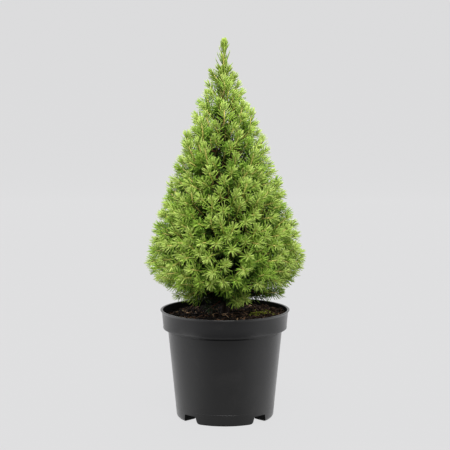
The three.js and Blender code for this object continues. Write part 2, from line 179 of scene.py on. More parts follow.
def notch_block(index, growth):
    """The block that opens one notch, wider at the floor, with softly rounded upper corners"""
    inner, outer = FOOT_INNER_RADIUS - NOTCH_REACH, BODY_BOTTOM_RADIUS + NOTCH_REACH
    top = NOTCH_RISE + growth
    block = added("cube", size=1, location=((inner + outer) / 2, 0, (top + FLARE_START) / 2))
    edit()
    width = NOTCH_FLOOR_WIDTH + 2 * growth
    resize(block.location, outer - inner, width, top - FLARE_START)
    pick(block, "FACE", lambda face: face.normal.z < -0.5)
    for drop, wider in ((0.6 * FLARE_START, 0.3), (0.4 * FLARE_START, 0.7), (NOTCH_DROP, 1)):
        before = width
        width += wider * (FLARE_WIDTH - NOTCH_FLOOR_WIDTH)
        extrude(0, 0, -drop)
        resize(block.location, 1, width / before, 1)
    pick(block, "VERT", lambda corner: corner.co.z > 0)
    narrow = (NOTCH_TOP_WIDTH + 2 * growth) / (NOTCH_FLOOR_WIDTH + 2 * growth)
    resize(block.location, 1, narrow, 1)
    pick(block, "EDGE", lambda edge: all(end.z > 0 for end in ends_of(block, edge)))
    bpy.ops.mesh.bevel(offset=NOTCH_ROUND + growth, segments=4)
    edit(False)
    bpy.ops.object.transform_apply()
    block.data.transform(Matrix.Rotation(notch_turn(index), 4, "Z"))
    return block


def drain_hole(index):
    turn = notch_turn(index)
    spot = (DRAIN_OUT * cos(turn), DRAIN_OUT * sin(turn), NOTCH_RISE + WALL / 2)
    hole = added("cylinder", vertices=16, radius=DRAIN_RADIUS, depth=DRAIN_DEPTH, location=spot)
    bpy.ops.object.transform_apply()
    return hole


BODY_LEAN = (BODY_TOP_RADIUS - BODY_BOTTOM_RADIUS) / (BAND_BOTTOM - FOOT_ROUND)


def body_radius(height):
    return BODY_BOTTOM_RADIUS + BODY_LEAN * (height - FOOT_ROUND)


LIP_FOOT = POT_HEIGHT - LIP_DEPTH
MOUTH_RADIUS = BAND_TOP_RADIUS - WALL
MOUTH = [(-0.00005, -SHADE_GAP), (0.0001, -0.0002), (LIP_ROUND, 0.0001), (LIP_ROUND, 0.002)]
POT_OUTSIDE = [
    (FOOT_INNER_RADIUS - FOOT_DRAFT, BASE_RISE),
    (FOOT_INNER_RADIUS, 0),
    *rounded(BODY_BOTTOM_RADIUS - FOOT_ROUND, FOOT_ROUND, FOOT_ROUND, -90, 0, steps=5),
    (body_radius(MOULD_LINE) + MOULD_STEP / 2, MOULD_LINE),
    (body_radius(MOULD_LINE) - MOULD_STEP / 2, MOULD_LINE + MOULD_STEP),
    (body_radius(GROOVE_FOOT), GROOVE_FOOT),
    *[(BODY_TOP_RADIUS - depth, BAND_BOTTOM - drop) for depth, drop in GROOVE],
    *rounded(BAND_BOTTOM_RADIUS - BAND_ROUND, BAND_BOTTOM + BAND_ROUND, BAND_ROUND, -90, 0),
    (BAND_BOTTOM_RADIUS + RIDGE, BAND_BOTTOM + RIDGE_LOW),
    (BAND_BOTTOM_RADIUS - RIDGE, BAND_BOTTOM + RIDGE_HIGH),
    (BAND_TOP_RADIUS - LIP_FLARE / 4, LIP_FOOT - LIP_FLARE),
    (BAND_TOP_RADIUS, LIP_FOOT - LIP_FLARE / 4),
    (BAND_TOP_RADIUS + LIP_FLARE / 2, LIP_FOOT + LIP_FLARE / 3),
    (LIP_RADIUS - LIP_FLARE / 4, LIP_FOOT + LIP_FLARE),
    *rounded(LIP_RADIUS - LIP_ROUND, POT_HEIGHT - LIP_ROUND, LIP_ROUND, 0, 90),
]
POT_INSIDE = [
    (FOOT_INNER_RADIUS - FOOT_DRAFT + WALL, BASE_RISE + WALL),
    (FOOT_INNER_RADIUS + WALL, WALL),
    (BODY_BOTTOM_RADIUS - FOOT_ROUND, WALL),
    (BODY_BOTTOM_RADIUS - WALL, WALL + FOOT_ROUND),
    (BODY_TOP_RADIUS - WALL, BAND_BOTTOM + WALL),
    (BAND_BOTTOM_RADIUS - WALL, BAND_BOTTOM + WALL),
    *[(MOUTH_RADIUS + out, POT_HEIGHT + up) for out, up in MOUTH],
]
pot = turned("pot_shell", POT_OUTSIDE, POT_SIDES)
pot_inside = turned("pot_inside", POT_INSIDE, POT_SIDES)
for i in range(NOTCHES):
    cut_by(pot, notch_block(i, 0))
    cut_by(pot, drain_hole(i))
    cut_by(pot_inside, notch_block(i, WALL))
cut_by(pot, pot_inside)
only(pot)
bpy.ops.object.shade_smooth_by_angle(angle=radians(32))


def paint(red, green, blue):
    """A colour as the eye names it, 0 to 255, in the shader's own linear numbers"""
    shares = [value / 255 for value in (red, green, blue)]
    return [x / 12.92 if x <= 0.04045 else ((x + 0.055) / 1.055) ** 2.4 for x in shares] + [1]


def group_named(name, inputs, outputs):
    """An empty shader node group, with named inputs that hold (kind, value) and named outputs"""
    group = bpy.data.node_groups.new(name, "ShaderNodeTree")
    for label, (kind, value) in inputs.items():
        socket = group.interface.new_socket(label, in_out="INPUT", socket_type=kind)
        if value is not None:
            socket.default_value = value
    for label, kind in outputs.items():
        group.interface.new_socket(label, in_out="OUTPUT", socket_type=kind)
    return group, group.nodes.new("NodeGroupInput").outputs, group.nodes.new("NodeGroupOutput").inputs


def place(tree, kind, values=None, **settings):
    """A node with its settings, and the sockets it takes: plain values, or outputs of other nodes"""
    node = tree.nodes.new(kind)
    for name, value in settings.items():
        setattr(node, name, value)
    for socket, value in (values or {}).items():
        if isinstance(value, bpy.types.NodeSocket):
            tree.links.new(value, node.inputs[socket])
        else:
            node.inputs[socket].default_value = value
    return node


def ranged(tree, value, start, end, least=0, most=1):
    """A value carried over from one range to another, and held at both ends"""
    values = {"Value": value, "From Min": start, "From Max": end, "To Min": least, "To Max": most}
    return place(tree, "ShaderNodeMapRange", values).outputs[0]


def worked_out(tree, operation, *values):
    return place(tree, "ShaderNodeMath", dict(enumerate(values)), operation=operation).outputs[0]


# Grain: a mask of fine specks and a height with both fine and coarse roughness
NUMBER, VECTOR = "NodeSocketFloat", "NodeSocketVector"
grain, given, made = group_named(
    "grain", {"Place": (VECTOR, None), "Fine": (NUMBER, 900), "Coarse": (NUMBER, 120)},
    {"Height": NUMBER, "Specks": NUMBER})
fine, coarse = [
    place(grain, "ShaderNodeTexNoise",
          {"Vector": given["Place"], "Scale": given[scale], "Detail": detail}).outputs["Fac"]
    for scale, detail in (("Fine", 3), ("Coarse", 4))]
grain.links.new(worked_out(grain, "ADD", fine, coarse), made["Height"])
grain.links.new(ranged(grain, fine, 0.55, 0.72), made["Specks"])

# Film: soft uneven patches, as of dust or dried water, that fade in and out over the surface
film, given, made = group_named("film", {
    "Place": (VECTOR, None), "Scale": (NUMBER, 18), "Least": (NUMBER, 0.5), "Most": (NUMBER, 0.75)},
    {"Mask": NUMBER})
patches = place(film, "ShaderNodeTexNoise", {
    "Vector": given["Place"], "Scale": given["Scale"],
    "Detail": 5, "Roughness": 0.62, "Distortion": 0.4})
film.links.new(ranged(film, patches.outputs["Fac"], given["Least"], given["Most"]), made["Mask"])


def new_material(name, **uniform):
    """A material with a Principled shader whose uniform values are set on its own sockets"""
    material = bpy.data.materials.new(name)
    material.use_nodes = True
    shader = material.node_tree.nodes["Principled BSDF"]
    for socket, value in uniform.items():
        shader.inputs[socket.replace("_", " ")].default_value = value
    return material, material.node_tree, shader


def grained(tree, shader, fine, coarse, strength, depth):
    """Roughens a finish with the grain. Gives the place on the piece, and the grain's specks"""
    where = place(tree, "ShaderNodeTexCoord").outputs["Object"]
    texture = place(
        tree, "ShaderNodeGroup", {"Place": where, "Fine": fine, "Coarse": coarse}, node_tree=grain)
    bump = place(tree, "ShaderNodeBump",
                 {"Height": texture.outputs["Height"], "Strength": strength, "Distance": depth})
    tree.links.new(bump.outputs[0], shader.inputs["Normal"])
    return where, texture.outputs["Specks"]


def filmed(tree, where, scale, least, most):
    """The mask of a film on a finish"""
    values = {"Place": where, "Scale": scale, "Least": least, "Most": most}
    return place(tree, "ShaderNodeGroup", values, node_tree=film).outputs["Mask"]


def axis_of(tree, where, axis):
    return place(tree, "ShaderNodeSeparateXYZ", {"Vector": where}).outputs[axis]


MIX_SHARE, MIX_FIRST, MIX_SECOND, MIXED_COLOUR = 0, 6, 7, 2    # the colour sockets of a Mix node


def mixed(tree, share, first, second):
    """A colour between two others"""
    values = {MIX_SHARE: share, MIX_FIRST: first, MIX_SECOND: second}
    return place(tree, "ShaderNodeMix", values, data_type="RGBA").outputs[MIXED_COLOUR]


POT_BLACK = paint(15, 15, 16)
POT_DUST = paint(38, 37, 37)
# Painted reflection: a paler plastic for low down, as if it mirrored the pale floor
POT_FLOOR_REFLECTION = paint(25, 25, 25)
POT_SCUFF = paint(34, 34, 35)
PAINTED_SHADE_BLACK = paint(8, 8, 8)   # painted shade: the wall inside, above the soil, and the underside of the base are painted near black
plastic, tree, shader = new_material("pot_plastic", Specular_IOR_Level=0.36)
where, _ = grained(tree, shader, 2600, 240, 0.25, 0.0002)
dust = filmed(tree, where, 22, 0.52, 0.95)
# Painted reflection: the plastic is painted paler towards the foot
low_down = ranged(tree, axis_of(tree, where, "Z"), BAND_BOTTOM, 0.03)
floor_reflection = mixed(tree, low_down, POT_BLACK, POT_FLOOR_REFLECTION)
dusty = mixed(tree, dust, floor_reflection, POT_DUST)
scuffed = mixed(tree, filmed(tree, where, 95, 0.66, 0.82), dusty, POT_SCUFF)
tree.links.new(scuffed, shader.inputs["Base Color"])
tree.links.new(ranged(tree, dust, 0, 1, 0.34, 0.5), shader.inputs["Roughness"])
# Painted shade: a near-black skin with almost no gloss, for where the pot lies in shade
painted_shade_skin = new_material(
    "pot_painted_shade", Base_Color=PAINTED_SHADE_BLACK, Roughness=0.8, Specular_IOR_Level=0.08)[0]
pot.data.materials.append(plastic)
pot.data.materials.append(painted_shade_skin)
# Painted shade: the inner wall above the soil and the underside of the base get that skin
for face in pot.data.polygons:
    x, y, z = face.center
    outwards = (face.normal.x * x + face.normal.y * y) / max(hypot(x, y), 1e-9)
    shaded_wall = outwards < 0 and BAND_BOTTOM < z < POT_HEIGHT - SHADE_GAP
    shaded_underside = outwards <= 0.8 and z < NOTCH_RISE + WALL
    if shaded_wall or shaded_underside:
        face.material_index = 1
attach(pot, "root")
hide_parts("pot")

# ---- The soil ----
# Peat potting soil that fills the pot to a finger's breadth under the rim, loose and lumpy on top
# and raised a little round the trunk.

SOIL_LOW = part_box("soil")[0].z
SOIL_EDGE = 0.1492
SOIL_MOUND = 0.1525
SOIL_GAP = 0.0003
SOIL_RINGS, SOIL_SIDES = 26, 120
SOIL_SURFACE = SOIL_EDGE - 0.0005    # what lies higher is loose
SOIL_FLAT = 0.011            # kept level under the trunk
SOIL_HEAP = 0.0055           # how much higher it lies against the wall on the right


def inner_wall(height):
    """The inner radius of the pot"""
    if height < BAND_BOTTOM + WALL:
        return body_radius(height - WALL) - WALL
    up = (height - BAND_BOTTOM - WALL) / (POT_HEIGHT - LIP_ROUND - BAND_BOTTOM - WALL)
    return BAND_BOTTOM_RADIUS + up * (BAND_TOP_RADIUS - BAND_BOTTOM_RADIUS) - WALL


soil_bottom = max(SOIL_LOW, NOTCH_RISE + WALL + SOIL_GAP)    # it rests over the notches
soil_shelf = BAND_BOTTOM + WALL + SOIL_GAP
soil_radius = inner_wall(SOIL_EDGE) - SOIL_GAP
soil_top = [(soil_radius * share, SOIL_MOUND - (SOIL_MOUND - SOIL_EDGE) * share ** 2)
            for share in (1 - i / SOIL_RINGS for i in range(SOIL_RINGS))]
soil = turned("soil_body", [
    (inner_wall(soil_bottom) - 2 * SOIL_GAP, soil_bottom),
    (inner_wall(soil_shelf - 2 * SOIL_GAP) - 2 * SOIL_GAP, soil_shelf),
    (inner_wall(soil_shelf) - SOIL_GAP, soil_shelf),
    *soil_top,
], SOIL_SIDES)
surface = soil.vertex_groups.new(name="surface")
for corner in soil.data.vertices:
    out = hypot(corner.co.x, corner.co.y)
    if corner.co.z > SOIL_SURFACE:
        corner.co.z += SOIL_HEAP * max(0, corner.co.x / soil_radius) ** 1.5
    loose = min(1, max(0, (out - SOIL_FLAT) / 0.006)) * min(1, (soil_radius - out) / 0.004 + 0.25)
    if corner.co.z > SOIL_SURFACE and loose > 0:
        surface.add([corner.index], loose, "REPLACE")


def roughen(piece, name, kind, size, depth, group=""):
    """Raises and lowers a surface by a cloudy pattern of that size"""
    pattern = bpy.data.textures.new(name, kind)
    pattern.noise_scale = size
    wave = piece.modifiers.new(name, "DISPLACE")
    wave.texture = pattern
    wave.texture_coords = "LOCAL"
    wave.strength = depth
    wave.mid_level = 0.5
    wave.vertex_group = group


fine_soil = soil.modifiers.new("finer", "SUBSURF")
fine_soil.subdivision_type = "SIMPLE"
fine_soil.levels = fine_soil.render_levels = 1
roughen(soil, "lumps", "CLOUDS", 0.013, 0.006, "surface")
roughen(soil, "clods", "CLOUDS", 0.0045, 0.004, "surface")
apply_modifiers(soil)
only(soil)
bpy.ops.object.shade_smooth()

SOIL_DARK = paint(11, 8, 6)
SOIL_BROWN = paint(24, 17, 12)
SOIL_PALE = paint(64, 48, 36)
SOIL_DRY = paint(58, 41, 31)     # where it is heaped up
earth, tree, shader = new_material("peat_soil", Specular_IOR_Level=0.25, Roughness=0.95)
where, specks = grained(tree, shader, 1100, 260, 0.9, 0.0012)
damp_soil_and_shaded_bark = mixed(tree, filmed(tree, where, 60, 0.4, 0.7), SOIL_DARK, SOIL_BROWN)
browned = mixed(tree, ranged(tree, axis_of(tree, where, "X"), 0, 0.07), damp_soil_and_shaded_bark, SOIL_DRY)
tree.links.new(mixed(tree, specks, browned, SOIL_PALE), shader.inputs["Base Color"])
soil.data.materials.append(earth)
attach(soil, "root")
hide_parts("soil")

# ---- What lies on the soil ----
# Crumbs of peat, splinters and chips of composted bark, and a few tufts of young moss that have
# come up in front, to one side.

CRUMBS, FIBRES, CHIPS, MOSS_TUFTS = 1500, 440, 240, 44
CLUMPS, CLUMP_SIZE, CLUMP_SPREAD = 9, 0.008, 0.07
SPLINTER_LEAST, SPLINTER_MOST = (0.005, 0.0005, 0.0004), (0.016, 0.0011, 0.0009)
CHIP_LEAST, CHIP_MOST = (0.002, 0.0014, 0.0006), (0.007, 0.0036, 0.0016)
soil_tree = BVHTree.FromObject(soil, bpy.context.evaluated_depsgraph_get())
chance = np.random.default_rng(11)
clumps = []
for i in range(CLUMPS):
    out, turn = CLUMP_SPREAD * sqrt((i + 0.5) / CLUMPS), 2.4 * i + 4.4
    clumps.append((out * cos(turn), out * sin(turn)))


def scattered(nearest=0.009, farthest=soil_radius - 0.003):
    out = sqrt(chance.uniform(nearest ** 2, farthest ** 2))
    turn = chance.uniform(0, 2 * pi)
    return out * cos(turn), out * sin(turn)


def in_scene(name, data):
    piece = bpy.data.objects.new(name, data)
    bpy.context.scene.collection.objects.link(piece)
    return piece


def mesh_piece(name, corners, faces, materials, tones):
    """A joined piece from arrays: corner places, faces of three corners and each face's material"""
    mesh = bpy.data.meshes.new(name)
    corners, faces = np.asarray(corners, np.float32), np.asarray(faces, np.int32)
    mesh.vertices.add(len(corners))
    mesh.vertices.foreach_set("co", corners.ravel())
    mesh.loops.add(faces.size)
    mesh.loops.foreach_set("vertex_index", faces.ravel())
    mesh.polygons.add(len(faces))
    mesh.polygons.foreach_set("loop_start", np.arange(0, faces.size, 3, dtype=np.int32))
    for material in materials:
        mesh.materials.append(material)
    mesh.polygons.foreach_set("material_index", np.asarray(tones, np.int32))
    mesh.update(calc_edges=True)
    mesh.validate()
    return in_scene(name, mesh)


def copies(shape, count, place_of):
    """Copies of one small shape, each with its own matrix, as joined arrays"""
    corners = np.array([list(corner.co) for corner in shape.data.vertices])
    faces = np.array([list(face.vertices) for face in shape.data.polygons])
    all_corners, all_faces = [], []
    for i in range(count):
        matrix = np.array(place_of(i))
        all_corners.append(corners @ matrix[:3, :3].T + matrix[:3, 3])
        all_faces.append(faces + i * len(corners))
    bpy.data.objects.remove(shape)
    return np.concatenate(all_corners), np.concatenate(all_faces)


def clumped():
    """A place in or near one of a few clumps, as watering leaves them"""
    if chance.random() < 0.5:
        return scattered(farthest=soil_radius - 0.011)
    x, y = clumps[chance.integers(0, len(clumps))]
    x, y = x + chance.normal(0, CLUMP_SIZE), y + 0.6 * chance.normal(0, CLUMP_SIZE)
    out = max(0.012, hypot(x, y))
    keep = min(out, soil_radius - 0.011) / hypot(x, y)
    return keep * x, keep * y


def lying(x, y, size, tilt, lift=0.0):
    """The matrix of a bit that lies on the soil, turned at random and sized along its three sides"""
    spot, facing, _, _ = soil_tree.ray_cast(Vector((x, y, POT_HEIGHT)), Vector((0, 0, -1)))
    rest = facing.to_track_quat("Z", "X").to_matrix().to_4x4()
    turn = Matrix.Rotation(chance.uniform(0, 2 * pi), 4, "Z")
    lean, roll = [Matrix.Rotation(chance.normal(0, tilt), 4, axis) for axis in "XY"]
    scale = Matrix.Diagonal((*size, 1))
    return Matrix.Translation(spot + lift * facing) @ rest @ turn @ (lean @ roll) @ scale


def triangles_only(piece):
    only(piece)
    edit()
    bpy.ops.mesh.select_all(action="SELECT")
    bpy.ops.mesh.quads_convert_to_tris()
    edit(False)


def sized(least, most):
    return [chance.uniform(low, high) for low, high in zip(least, most)]


# A crumb is a small ball knocked out of round
crumb = added("ico_sphere", subdivisions=1, radius=1)
for corner in crumb.data.vertices:
    corner.co *= chance.uniform(0.7, 1.25)


def crumb_place(_):
    size = chance.lognormal(-6.75, 0.42)
    return lying(*scattered(), [size * chance.uniform(0.7, 1.2) for _ in range(3)], 1, 0.3 * size)


corners, faces = copies(crumb, CRUMBS, crumb_place)
crumbs = mesh_piece("soil_crumbs", corners, faces, [earth], np.zeros(len(faces)))
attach(crumbs, "root")

# A splinter is a thin bar bent in the middle, and a chip a short slab with one thin edge
splinter = added("cube", size=1)
edit()
bpy.ops.mesh.subdivide(number_cuts=2)
edit(False)
for corner in splinter.data.vertices:
    corner.co.z += 0.9 - 5 * corner.co.x ** 2
    corner.co.y *= 1.1 - 1.4 * abs(corner.co.x)
triangles_only(splinter)
chip = added("cube", size=1)
edit()
bpy.ops.mesh.bevel(offset=0.16, segments=1)
edit(False)
for corner in chip.data.vertices:
    corner.co.z *= 1.0 - 0.9 * corner.co.x
    corner.co.y *= 1.0 + 0.3 * corner.co.z
triangles_only(chip)


def splinter_place(_):
    size = sized(SPLINTER_LEAST, SPLINTER_MOST)
    return lying(*clumped(), size, 0.18, 0.0008)


def chip_place(_):
    size = sized(CHIP_LEAST, CHIP_MOST)
    return lying(*scattered(farthest=soil_radius - 0.0045), size, 0.25, 0.0007)


WOOD_TONES = [paint(26, 19, 14), paint(68, 48, 35), paint(118, 88, 64), paint(184, 152, 118)]
woods = []
for i, tone in enumerate(WOOD_TONES):
    wood, tree, shader = new_material(f"bark_bit_{i + 1}", Roughness=0.85, Specular_IOR_Level=0.3)
    _, specks = grained(tree, shader, 1800, 420, 0.6, 0.0004)
    worn = mixed(tree, specks, tone, [0.55 * value for value in tone[:3]] + [1])
    tree.links.new(worn, shader.inputs["Base Color"])
    woods.append(wood)
for name, shape, count, place_of, shares in (
        ("soil_splinters", splinter, FIBRES, splinter_place, (0.34, 0.25, 0.23, 0.18)),
        ("soil_chips", chip, CHIPS, chip_place, (0.5, 0.3, 0.14, 0.06))):
    each = len(shape.data.polygons)
    corners, faces = copies(shape, count, place_of)
    tones = np.repeat(chance.choice(4, count, p=shares), each)
    bits = mesh_piece(name, corners, faces, woods, tones)
    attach(bits, "root")

# A moss tuft is a rosette of small pointed leaves
leaf = added("cone", vertices=4, radius1=0.32, radius2=0, depth=1, location=(0, 0, 0.5))
bpy.ops.object.transform_apply()
triangles_only(leaf)
MOSS_LEAVES = 14
MOSS_X, MOSS_Y, MOSS_SPREAD_X, MOSS_SPREAD_Y = 0.053, -0.004, 0.008, 0.010
moss_spots = [(MOSS_X + chance.normal(0, MOSS_SPREAD_X), MOSS_Y + chance.normal(0, MOSS_SPREAD_Y))
              for _ in range(MOSS_TUFTS)]


def leaf_place(index):
    x, y = moss_spots[index // MOSS_LEAVES]
    size = chance.uniform(0.002, 0.0044)
    return lying(x + chance.normal(0, 0.0008), y + chance.normal(0, 0.0008),
                 (size * 0.35, size * 0.35, size), 0.75)


leaves = MOSS_TUFTS * MOSS_LEAVES
corners, faces = copies(leaf, leaves, leaf_place)
# Painted light: the moss is painted paler than its own green, to lift it out of the crown's shade
MOSS_PAINTED_LIGHT_TONES = [paint(160, 170, 48), paint(206, 212, 84)]
mosses = [new_material(f"moss_{i + 1}", Base_Color=tone, Roughness=0.7)[0]
          for i, tone in enumerate(MOSS_PAINTED_LIGHT_TONES)]
tones = np.repeat(chance.integers(0, 2, leaves), len(faces) // leaves)
moss = mesh_piece("soil_moss", corners, faces, mosses, tones)
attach(moss, "root")

# ---- The trunk and the boughs ----
# One straight leader of young spruce wood with a slight sway, flared at the roots. Its bark is thin,
# red-brown and scaly, and so is that of the boughs that leave it in tiers.

TRUNK_FOOT, TRUNK_TIP = 0.1513, 0.496
TRUNK_FOOT_RADIUS, TRUNK_TIP_RADIUS = 0.0048, 0.0012
FLARE, FLARE_HEIGHT, FLARE_LOBES, FLARE_DEPTH = 0.0034, 0.006, 3, 0.22
LEAN, SWAY = -0.001, 0.0014
CROWN_BOTTOM, CROWN_WIDEST, CROWN_TOP = 0.157, 0.242, 0.557
CROWN_RADIUS, CROWN_POWER = 0.117, 1.15
LIMB_FOOT_RADIUS, LIMB_TIP_RADIUS = 0.002, 0.0011
BOUGH_SHARE, BOUGH_SAG, BOUGH_STAGGER = 0.34, 0.1, 0.012
BOUGH_TIERS = 4
TIER_TURN = 137.5
EDGE_RISE = 75

# outer and inner: how many finer shoots each mass has on the outline and inside it
Tier = namedtuple("Tier", "name low high masses shoots outer inner")
TIERS = [
    Tier("skirt", 0.159, 0.187, 5, 1, 2, 6),
    Tier("low", 0.187, 0.236, 6, 6, 7, 16),
    Tier("wide", 0.236, 0.290, 6, 6, 8, 28),
    Tier("middle", 0.290, 0.346, 5, 6, 8, 30),
    Tier("upper", 0.346, 0.402, 4, 6, 8, 26),
    Tier("high", 0.402, 0.456, 3, 6, 7, 16),
    Tier("top", 0.456, 0.508, 3, 5, 3, 2),
]
Space = namedtuple("Space", "name tier index low high shoots outer inner azimuth half")
Shoot = namedtuple("Shoot", "tip direction length heel")


def mix(first, second, share):
    return first + (second - first) * share


def trunk_centre(height):
    up = (height - TRUNK_FOOT) / (CROWN_TOP - TRUNK_FOOT)
    return Vector((LEAN * up + SWAY * sin(2 * pi * up), 0.6 * SWAY * sin(3 * pi * up), height))


def trunk_radius(height, angle=0.0):
    up = (height - TRUNK_FOOT) / (TRUNK_TIP - TRUNK_FOOT)
    flare = exp(-(height - TRUNK_FOOT) / FLARE_HEIGHT)
    lobe = 1 + FLARE_DEPTH * flare * cos(FLARE_LOBES * angle)
    return (mix(TRUNK_FOOT_RADIUS, TRUNK_TIP_RADIUS, up) + FLARE * flare) * lobe


def crown_radius(height):
    if height > CROWN_WIDEST:
        up = (height - CROWN_WIDEST) / (CROWN_TOP - CROWN_WIDEST)
        return CROWN_RADIUS * (1 - min(1, up) ** CROWN_POWER)
    down = (CROWN_WIDEST - height) / (CROWN_WIDEST - CROWN_BOTTOM)
    return CROWN_RADIUS * sqrt(max(0, 1 - down ** 2))


def edge_slope(height):
    """How steeply a tier's edge rises outwards, where it meets the outline at that height"""
    share = (height - TIERS[0].low) / (TIERS[-1].high - TIERS[0].low)
    return tan(radians(EDGE_RISE * share))


def edge_height(height, out):
    return height - (crown_radius(height) - out) * edge_slope(height)


def space_of(tier, index):
    name, low, high, masses, *counts = TIERS[tier]
    azimuth = radians(TIER_TURN * tier) + 2 * pi * index / masses
    return Space(f"{name}_{index + 1}", tier, index, low, high, *counts, azimuth, pi / masses)


SHOOT_LENGTH, LOW_SLOPE, HIGH_SLOPE, STRAY = 0.032, -15, 66, 9


def pointing(azimuth, slope):
    return Vector((cos(slope) * cos(azimuth), cos(slope) * sin(azimuth), sin(slope)))


def shoot_direction(azimuth, height, draw, stray, rise):
    """Shoots droop at the foot of the crown, lie level at its waist and rise towards the top"""
    up = (height - CROWN_BOTTOM) / (CROWN_TOP - CROWN_BOTTOM)
    steeper = rise * min(1, max(0, (up - 0.15) / 0.3))
    slope = radians(mix(LOW_SLOPE, HIGH_SLOPE, up) + steeper + stray * (2 * draw() - 1))
    turn = azimuth + radians(stray) * (2 * draw() - 1)
    return pointing(turn, slope)


def shoot_to(azimuth, height, draw, share=1.0, size=1.0, stray=STRAY, rise=0.0):
    """A shoot whose tip lies on the outline, or at a share of the way out to it"""
    out = share * crown_radius(height)
    level = edge_height(height, out)
    tip = trunk_centre(level) + Vector((out * cos(azimuth), out * sin(azimuth), 0))
    direction = shoot_direction(azimuth, height, draw, stray, rise)
    length = size * min(SHOOT_LENGTH, 0.75 * crown_radius(height) + 0.006)
    return Shoot(tip, direction, length, tip - length * direction)


def bough_path(space):
    """The curve from the trunk out to the heel of a mass's middle shoot: its three guide points"""
    height = mix(space.low, space.high, 0.5)
    stagger = BOUGH_STAGGER * ((space.index * 0.618) % 1 - 0.5)
    middle = shoot_to(space.azimuth, height, lambda: 0.5)
    root = trunk_centre(stagger + 0.5 * (edge_height(space.low, 0) + edge_height(space.high, 0)))
    knee = root.lerp(middle.heel, 0.5)
    knee.z -= BOUGH_SAG * crown_radius(height) * (1 if height > CROWN_WIDEST else -0.3)
    return (root, knee, middle.heel), middle


def along_path(path, share):
    root, knee, end = path
    return root.lerp(knee, share).lerp(knee.lerp(end, share), share)


BARK_SIDES, BARK_STEPS, BOUGH_STEPS = 20, 150, 16


def barked_limb(name, sides, cuts):
    """A straight limb of unit length and radius along Z, subdivided along its length"""
    limb = added("cylinder", vertices=sides, radius=1, depth=1, location=(0, 0, 0.5))
    limb.name = limb.data.name = name
    bpy.ops.object.transform_apply()
    edit()

    def lengthwise(edge):
        one, other = ends_of(limb, edge)
        return abs(one.z - other.z) > 0.5

    pick(limb, "EDGE", lengthwise)
    bpy.ops.mesh.subdivide(number_cuts=cuts)
    edit(False)
    return limb


def lay_along(limb, centre_at, radius_at):
    """Bends a straight limb along a path, with a radius that changes along it and round it"""
    run = (centre_at(1) - centre_at(0)).normalized()
    reference = Vector((1, 0, 0)) if abs(run.z) > 0.8 else Vector((0, 0, 1))
    for corner in limb.data.vertices:
        along, out = min(1, max(0, corner.co.z)), hypot(corner.co.x, corner.co.y)
        angle = atan2(corner.co.y, corner.co.x)
        ahead = (centre_at(min(1, along + 0.01)) - centre_at(max(0, along - 0.01))).normalized()
        side = reference.cross(ahead).normalized()
        front = ahead.cross(side)
        radius = out * radius_at(along, angle)
        corner.co = centre_at(along) + radius * (cos(angle) * side + sin(angle) * front)


def limb_radius(share):
    return mix(LIMB_FOOT_RADIUS, LIMB_TIP_RADIUS, share)


def trunk_height(along):
    return mix(TRUNK_FOOT - 0.002, TRUNK_TIP, along ** 1.4)


trunk = barked_limb("trunk_bark", BARK_SIDES, BARK_STEPS)
lay_along(trunk, lambda along: trunk_centre(trunk_height(along)),
          lambda along, angle: trunk_radius(max(TRUNK_FOOT, trunk_height(along)), angle))
roughen(trunk, "bark_plates", "VORONOI", 0.0035, 0.0011)
roughen(trunk, "bark_scales", "CLOUDS", 0.0016, 0.0006)
apply_modifiers(trunk)

spaces = [space_of(tier, index) for tier in range(len(TIERS)) for index in range(TIERS[tier].masses)]
bough_copies, bough_nodes = [], []
straight_bough = barked_limb("straight_bough", 10, BOUGH_STEPS)
for space in spaces:
    if space.tier < BOUGH_TIERS:
        path, _ = bough_path(space)
        bough = in_scene("bark", straight_bough.data.copy())
        lay_along(bough, lambda along: along_path(path, BOUGH_SHARE * along),
                  lambda along, _: limb_radius(BOUGH_SHARE * along))
        bough_copies.append(bough)
        bough_nodes.append(f"bough_{space.name}")
bpy.data.objects.remove(straight_bough)
nothing_selected()
for bough in bough_copies:
    bough.select_set(True)
boughs = bough_copies[0]
bpy.context.view_layer.objects.active = boughs
bpy.ops.object.join()
boughs.name = boughs.data.name = "boughs_bark"
roughen(boughs, "bough_scales", "CLOUDS", 0.0018, 0.0009)
apply_modifiers(boughs)

BARK_BROWN = paint(104, 74, 54)
BARK_RED = paint(134, 92, 66)
BARK_DARK = paint(56, 40, 31)
BARK_PAINTED_SHADE, PAINTED_SHADE_TOP = paint(17, 12, 9), 0.26    # painted shade: the lower stem and boughs, in the dark under the crown, are painted near black
bark, tree, shader = new_material("young_bark", Roughness=0.85, Specular_IOR_Level=0.3)
where, _ = grained(tree, shader, 1500, 380, 0.7, 0.0005)
cracks = place(
    tree, "ShaderNodeTexVoronoi", {"Vector": where, "Scale": 420}, feature="DISTANCE_TO_EDGE")
scaly = mixed(tree, filmed(tree, where, 130, 0.42, 0.62), BARK_BROWN, BARK_RED)
# Painted shade: the bark is painted darker towards the foot of the crown
damp_soil_and_shaded_bark = mixed(tree, ranged(tree, axis_of(tree, where, "Z"), PAINTED_SHADE_TOP, CROWN_BOTTOM), scaly, BARK_PAINTED_SHADE)
open_cracks = ranged(tree, cracks.outputs["Distance"], 0, 0.12, 1, 0)
tree.links.new(mixed(tree, open_cracks, damp_soil_and_shaded_bark, BARK_DARK), shader.inputs["Base Color"])
for piece, nodes in ((trunk, ["trunk"]), (boughs, bough_nodes)):
    piece.data.materials.clear()
    piece.data.materials.append(bark)
    only(piece)
    bpy.ops.object.shade_smooth()
    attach(piece, "root")
    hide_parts(*nodes)

# ---- How the crown grows ----
# Each mass of the crown goes on from its bough: a stem, then shoots that branch from it, then finer
# ones that fill the mass from the outline inwards. Every shoot is grown by one seeded rule.

